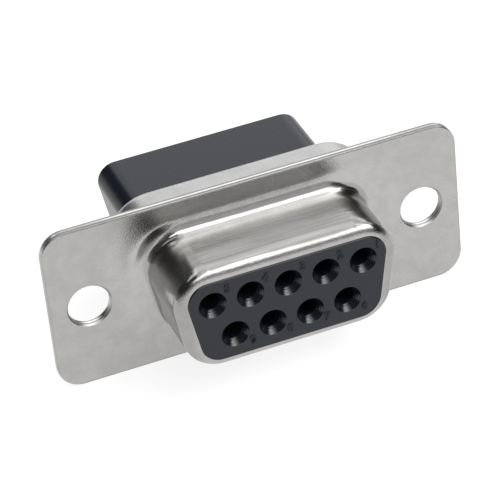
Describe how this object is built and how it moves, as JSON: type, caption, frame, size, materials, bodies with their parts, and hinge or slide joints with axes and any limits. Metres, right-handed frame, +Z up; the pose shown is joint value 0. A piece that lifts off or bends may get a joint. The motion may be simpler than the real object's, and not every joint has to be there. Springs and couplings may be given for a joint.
{
  "type": "cable gender changer",
  "caption": "Short D-shaped socket-to-socket cable adapter: drawn metal shells with a two-hole flange round black moulded insulators.",
  "frame": {"origin": "midway between the two mounting holes, on the flange's front face", "axes": "+X along the flange, +Y from the front mating face to the rear mating face, +Z up, towards the longer row of contacts"},
  "size_m": [0.0308, 0.0173, 0.0126],
  "materials": {
    "front_shell": "satin nickel plate on drawn steel",
    "rear_shell": "satin nickel plate on drawn steel",
    "front_insulator": "fine satin moulding",
    "rear_insulator": "fine satin moulding",
    "contact": "gold flash over turned copper alloy"
  },
  "bodies": {
    "root": {"front_shell": "front_shell", "rear_shell": "rear_shell", "front_insulator": "front_insulator", "rear_insulator": "rear_insulator", "contact_1": "contact", "contact_2": "contact", "contact_3": "contact", "contact_4": "contact", "contact_5": "contact", "contact_6": "contact", "contact_7": "contact", "contact_8": "contact", "contact_9": "contact"}
  },
  "joints": []
}
